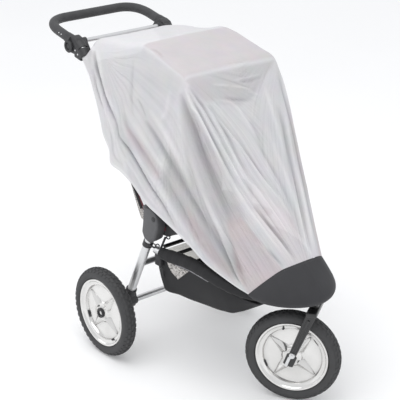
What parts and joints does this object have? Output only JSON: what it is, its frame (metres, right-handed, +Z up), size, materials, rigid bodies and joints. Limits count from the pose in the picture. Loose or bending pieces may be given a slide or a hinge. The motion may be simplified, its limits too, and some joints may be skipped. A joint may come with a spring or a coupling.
{
  "type": "stroller mosquito net on a three-wheeled stroller",
  "caption": "Sheer netting draped from the handle crossbar over the canopy of a three-wheeled stroller, with a black cloth boot at the feet.",
  "frame": {"origin": "on the ground, under the middle of the whole stroller", "axes": "+X forwards, the way the stroller is pushed; +Y to its left; +Z up"},
  "size_m": [1.2075, 0.62, 1.0898],
  "materials": {
    "net": "sheer fine netting",
    "boot_cloth": "matt woven",
    "canopy_cloth": "matt woven",
    "seat_cloth": "matt woven",
    "basket_cloth": "matt woven",
    "foam_grip": "matt foam",
    "black_plastic": "matt moulded",
    "grey_plastic": "satin moulded",
    "alloy": "satin anodised",
    "cast_wheel": "polished",
    "fork_steel": "semi-gloss black",
    "tyre_rubber": "matt"
  },
  "bodies": {
    "root": {"net_body": "net", "foot_boot": "boot_cloth", "canopy": "canopy_cloth", "handle_grip": "foam_grip", "crossbar": "alloy", "canopy_arm_left": "black_plastic", "canopy_arm_right": "black_plastic", "handle_bracket_left": "black_plastic", "handle_bracket_right": "black_plastic", "crossbar_cap_left": "black_plastic", "crossbar_cap_right": "black_plastic", "main_tube_left": "alloy", "main_tube_right": "alloy", "hinge_block_left": "grey_plastic", "hinge_block_right": "grey_plastic", "rear_leg_left": "alloy", "rear_leg_right": "alloy", "axle_bracket_left": "black_plastic", "axle_bracket_right": "black_plastic", "lower_tube_left": "alloy", "lower_tube_right": "alloy", "basket_band_left": "basket_cloth", "basket_band_right": "basket_cloth", "tyre_rear_left": "tyre_rubber", "tyre_rear_right": "tyre_rubber", "wheel_rear_left": "cast_wheel", "wheel_rear_right": "cast_wheel", "hub_cap_rear_left": "black_plastic", "hub_cap_rear_right": "black_plastic", "rear_axle_tube": "alloy", "middle_cross_tube": "alloy", "seat_cross_tube": "alloy", "steering_head": "black_plastic", "fork": "fork_steel", "tyre_front": "tyre_rubber", "wheel_front": "cast_wheel", "seat_back": "seat_cloth", "seat_base": "seat_cloth", "leg_rest": "seat_cloth", "foot_plate": "basket_cloth", "basket": "basket_cloth"}
  },
  "joints": []
}
